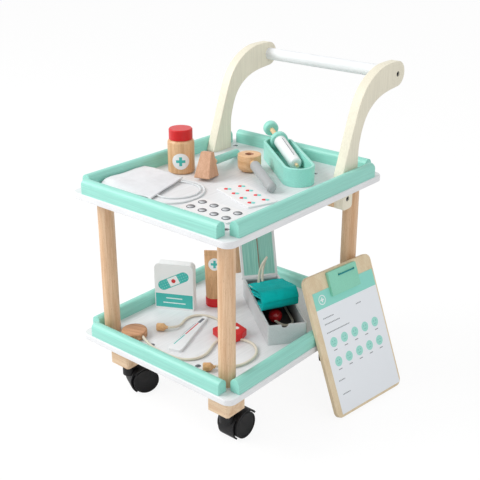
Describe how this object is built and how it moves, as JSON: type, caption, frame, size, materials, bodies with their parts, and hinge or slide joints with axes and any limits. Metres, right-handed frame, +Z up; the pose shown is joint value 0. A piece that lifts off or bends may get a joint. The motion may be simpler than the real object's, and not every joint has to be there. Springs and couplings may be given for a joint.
{
  "type": "toy doctor trolley",
  "caption": "Wooden toy trolley with railed trays, a push handle and swivel casters, laden with a toy doctor's kit and a leaning clipboard.",
  "frame": {"origin": "on the floor, at the middle of the footprint of everything in the row", "axes": "+Z up, +X to the right along the front edge of the trays, +Y back toward the push bar"},
  "size_m": [0.3596, 0.4187, 0.4825],
  "materials": {
    "white_board": "painted white",
    "mint_rail": "painted mint green, satin",
    "beech": "clear lacquer, satin",
    "cream_plywood": "painted cream, satin",
    "white_bar": "painted white",
    "steel": "plated screws",
    "black_plastic": "satin",
    "socket_plastic": "satin",
    "bottle_wood": "clear lacquer with a printed round label",
    "red_wood": "painted red, satin",
    "brown_wood": "clear lacquer",
    "mint_wood": "painted mint green, satin",
    "grey_wood": "painted grey, satin",
    "white_wood": "painted white, satin",
    "grey_case": "painted pale grey",
    "lid_panel": "white rims with mint panels inside",
    "mask_cloth": "woven white cloth",
    "white_elastic": "braided elastic",
    "card": "printed card with raised blisters",
    "box_print": "painted white with a printed front",
    "white_cord": "matte white tube",
    "teal_cloth": "woven teal cloth",
    "red_bulb": "painted red, satin",
    "clipboard_wood": "bare plywood",
    "paper": "printed paper",
    "teal_elastic": "round elastic"
  },
  "bodies": {
    "frame": {"lower_board": "white_board", "upper_board": "white_board", "lower_tray_rails": "mint_rail", "upper_tray_rails": "mint_rail", "post_front_left": "beech", "post_front_right": "beech", "post_back_left": "beech", "post_back_right": "beech", "arm_left": "cream_plywood", "arm_right": "cream_plywood", "push_bar": "white_bar", "arm_stretcher": "beech", "deck_bearers": "beech", "caster_blocks": "beech", "caster_sockets": "socket_plastic", "deck_screws": "steel", "rail_screws": "steel", "arm_bolts": "steel", "case_box": "grey_case"},
    "caster_front_left": {"caster_hood_front_left": "black_plastic"},
    "wheels_front_left": {"caster_wheels_front_left": "black_plastic"},
    "caster_front_right": {"caster_hood_front_right": "black_plastic"},
    "wheels_front_right": {"caster_wheels_front_right": "black_plastic"},
    "caster_back_left": {"caster_hood_back_left": "black_plastic"},
    "wheels_back_left": {"caster_wheels_back_left": "black_plastic"},
    "caster_back_right": {"caster_hood_back_right": "black_plastic"},
    "wheels_back_right": {"caster_wheels_back_right": "black_plastic"},
    "medicine_bottle": {"medicine_bottle": "bottle_wood"},
    "medicine_bottle_cap": {"medicine_bottle_cap": "red_wood"},
    "hammer": {"hammer_head": "brown_wood", "hammer_handle": "mint_wood"},
    "otoscope": {"otoscope_cup": "brown_wood", "otoscope_handle": "grey_wood"},
    "syringe_tray": {"syringe_tray": "mint_wood"},
    "syringe": {"syringe_barrel": "white_wood", "syringe_collar": "mint_wood"},
    "syringe_plunger": {"syringe_plunger": "mint_wood"},
    "mask": {"face_mask": "mask_cloth", "mask_loop_near": "white_elastic", "mask_loop_far": "white_elastic"},
    "tablet_card": {"tablet_card": "card"},
    "capsule_card": {"capsule_card": "card"},
    "plaster_box": {"plaster_box": "box_print"},
    "ointment_tube": {"ointment_tube": "brown_wood"},
    "ointment_tube_cap": {"ointment_tube_cap": "red_wood"},
    "stethoscope": {"stethoscope_chest_piece": "brown_wood", "stethoscope_hub": "red_wood", "stethoscope_ear_tips": "brown_wood", "stethoscope_chest_cord": "white_cord", "stethoscope_left_ear_cord": "white_cord", "stethoscope_right_ear_cord": "white_cord"},
    "thermometer": {"thermometer": "white_wood"},
    "case_lid": {"case_lid": "lid_panel"},
    "cuff": {"cuff": "teal_cloth", "cuff_bulb": "red_bulb", "cuff_hose": "white_cord"},
    "clipboard": {"clipboard_board": "clipboard_wood", "clipboard_paper": "paper"},
    "clipboard_clip": {"clipboard_clip": "mint_wood", "clipboard_elastic": "teal_elastic"}
  },
  "joints": [
    {"name": "caster_front_left_turn", "type": "hinge", "parent": "frame", "child": "caster_front_left", "pos_m": [-0.13183, -0.16135, 0.0514], "axis": [0, 0, 1], "continuous": true},
    {"name": "wheels_front_left_turn", "type": "hinge", "parent": "caster_front_left", "child": "wheels_front_left", "pos_m": [-0.12243, -0.14257, 0.02], "axis": [0.8942, -0.4478, 0], "continuous": true},
    {"name": "caster_front_right_turn", "type": "hinge", "parent": "frame", "child": "caster_front_right", "pos_m": [0.06517, -0.16135, 0.0514], "axis": [0, 0, 1], "continuous": true},
    {"name": "wheels_front_right_turn", "type": "hinge", "parent": "caster_front_right", "child": "wheels_front_right", "pos_m": [0.06517, -0.14035, 0.02], "axis": [1, 0, 0], "continuous": true},
    {"name": "caster_back_left_turn", "type": "hinge", "parent": "frame", "child": "caster_back_left", "pos_m": [-0.13183, 0.09065, 0.0514], "axis": [0, 0, 1], "continuous": true},
    {"name": "wheels_back_left_turn", "type": "hinge", "parent": "caster_back_left", "child": "wheels_back_left", "pos_m": [-0.14476, 0.1072, 0.02], "axis": [0.788, 0.6157, 0], "continuous": true},
    {"name": "caster_back_right_turn", "type": "hinge", "parent": "frame", "child": "caster_back_right", "pos_m": [0.06517, 0.09065, 0.0514], "axis": [0, 0, 1], "continuous": true},
    {"name": "wheels_back_right_turn", "type": "hinge", "parent": "caster_back_right", "child": "wheels_back_right", "pos_m": [0.05663, 0.10983, 0.02], "axis": [0.9135, 0.4067, 0], "continuous": true},
    {"name": "medicine_bottle_lift", "type": "slide", "parent": "frame", "child": "medicine_bottle", "axis": [0, 0, 1], "range_m": [0, 0.1]},
    {"name": "medicine_bottle_cap_turn", "type": "hinge", "parent": "medicine_bottle", "child": "medicine_bottle_cap", "pos_m": [-0.12233, -0.04535, 0.3826], "axis": [0, 0, 1], "continuous": true},
    {"name": "hammer_lift", "type": "slide", "parent": "frame", "child": "hammer", "axis": [0, 0, 1], "range_m": [0, 0.1]},
    {"name": "otoscope_lift", "type": "slide", "parent": "frame", "child": "otoscope", "axis": [0, 0, 1], "range_m": [0, 0.1]},
    {"name": "syringe_tray_lift", "type": "slide", "parent": "frame", "child": "syringe_tray", "axis": [0, 0, 1], "range_m": [0, 0.08]},
    {"name": "syringe_lift", "type": "slide", "parent": "syringe_tray", "child": "syringe", "axis": [0, 0, 1], "range_m": [0, 0.08]},
    {"name": "syringe_plunger_slide", "type": "slide", "parent": "syringe", "child": "syringe_plunger", "axis": [-0.817, 0.5511, 0.1698], "range_m": [-0.015, 0.02]},
    {"name": "mask_lift", "type": "slide", "parent": "frame", "child": "mask", "axis": [0, 0, 1], "range_m": [0, 0.1]},
    {"name": "tablet_card_lift", "type": "slide", "parent": "frame", "child": "tablet_card", "axis": [0, 0, 1], "range_m": [0, 0.1]},
    {"name": "capsule_card_lift", "type": "slide", "parent": "frame", "child": "capsule_card", "axis": [0, 0, 1], "range_m": [0, 0.1]},
    {"name": "plaster_box_lift", "type": "slide", "parent": "frame", "child": "plaster_box", "axis": [0, 0, 1], "range_m": [0, 0.1]},
    {"name": "ointment_tube_lift", "type": "slide", "parent": "frame", "child": "ointment_tube", "axis": [0, 0, 1], "range_m": [0, 0.1]},
    {"name": "ointment_tube_cap_turn", "type": "hinge", "parent": "ointment_tube", "child": "ointment_tube_cap", "pos_m": [-0.08933, -0.01235, 0.11185], "axis": [0, 0, 1], "continuous": true},
    {"name": "stethoscope_lift", "type": "slide", "parent": "frame", "child": "stethoscope", "axis": [0, 0, 1], "range_m": [0, 0.06]},
    {"name": "thermometer_lift", "type": "slide", "parent": "frame", "child": "thermometer", "axis": [0, 0, 1], "range_m": [0, 0.06]},
    {"name": "case_lid_hinge", "type": "hinge", "parent": "frame", "child": "case_lid", "pos_m": [-0.05636, 0.06272, 0.1321], "axis": [0.6088, 0.7934, 0], "range_deg": [0, 99], "deforming": ["cuff_hose"]},
    {"name": "cuff_lift", "type": "slide", "parent": "frame", "child": "cuff", "axis": [0, 0, 1], "range_m": [0, 0.1]},
    {"name": "clipboard_lift", "type": "slide", "parent": "frame", "child": "clipboard", "axis": [1, 0, 0], "range_m": [0, 0.1]},
    {"name": "clipboard_clip_hinge", "type": "hinge", "parent": "clipboard", "child": "clipboard_clip", "pos_m": [0.09549, 0.05888, 0.19866], "axis": [-0.1219, -0.9925, 0], "range_deg": [0, 18], "stiffness_Nm_per_rad": 0.02, "springref_deg": -11.46}
  ]
}
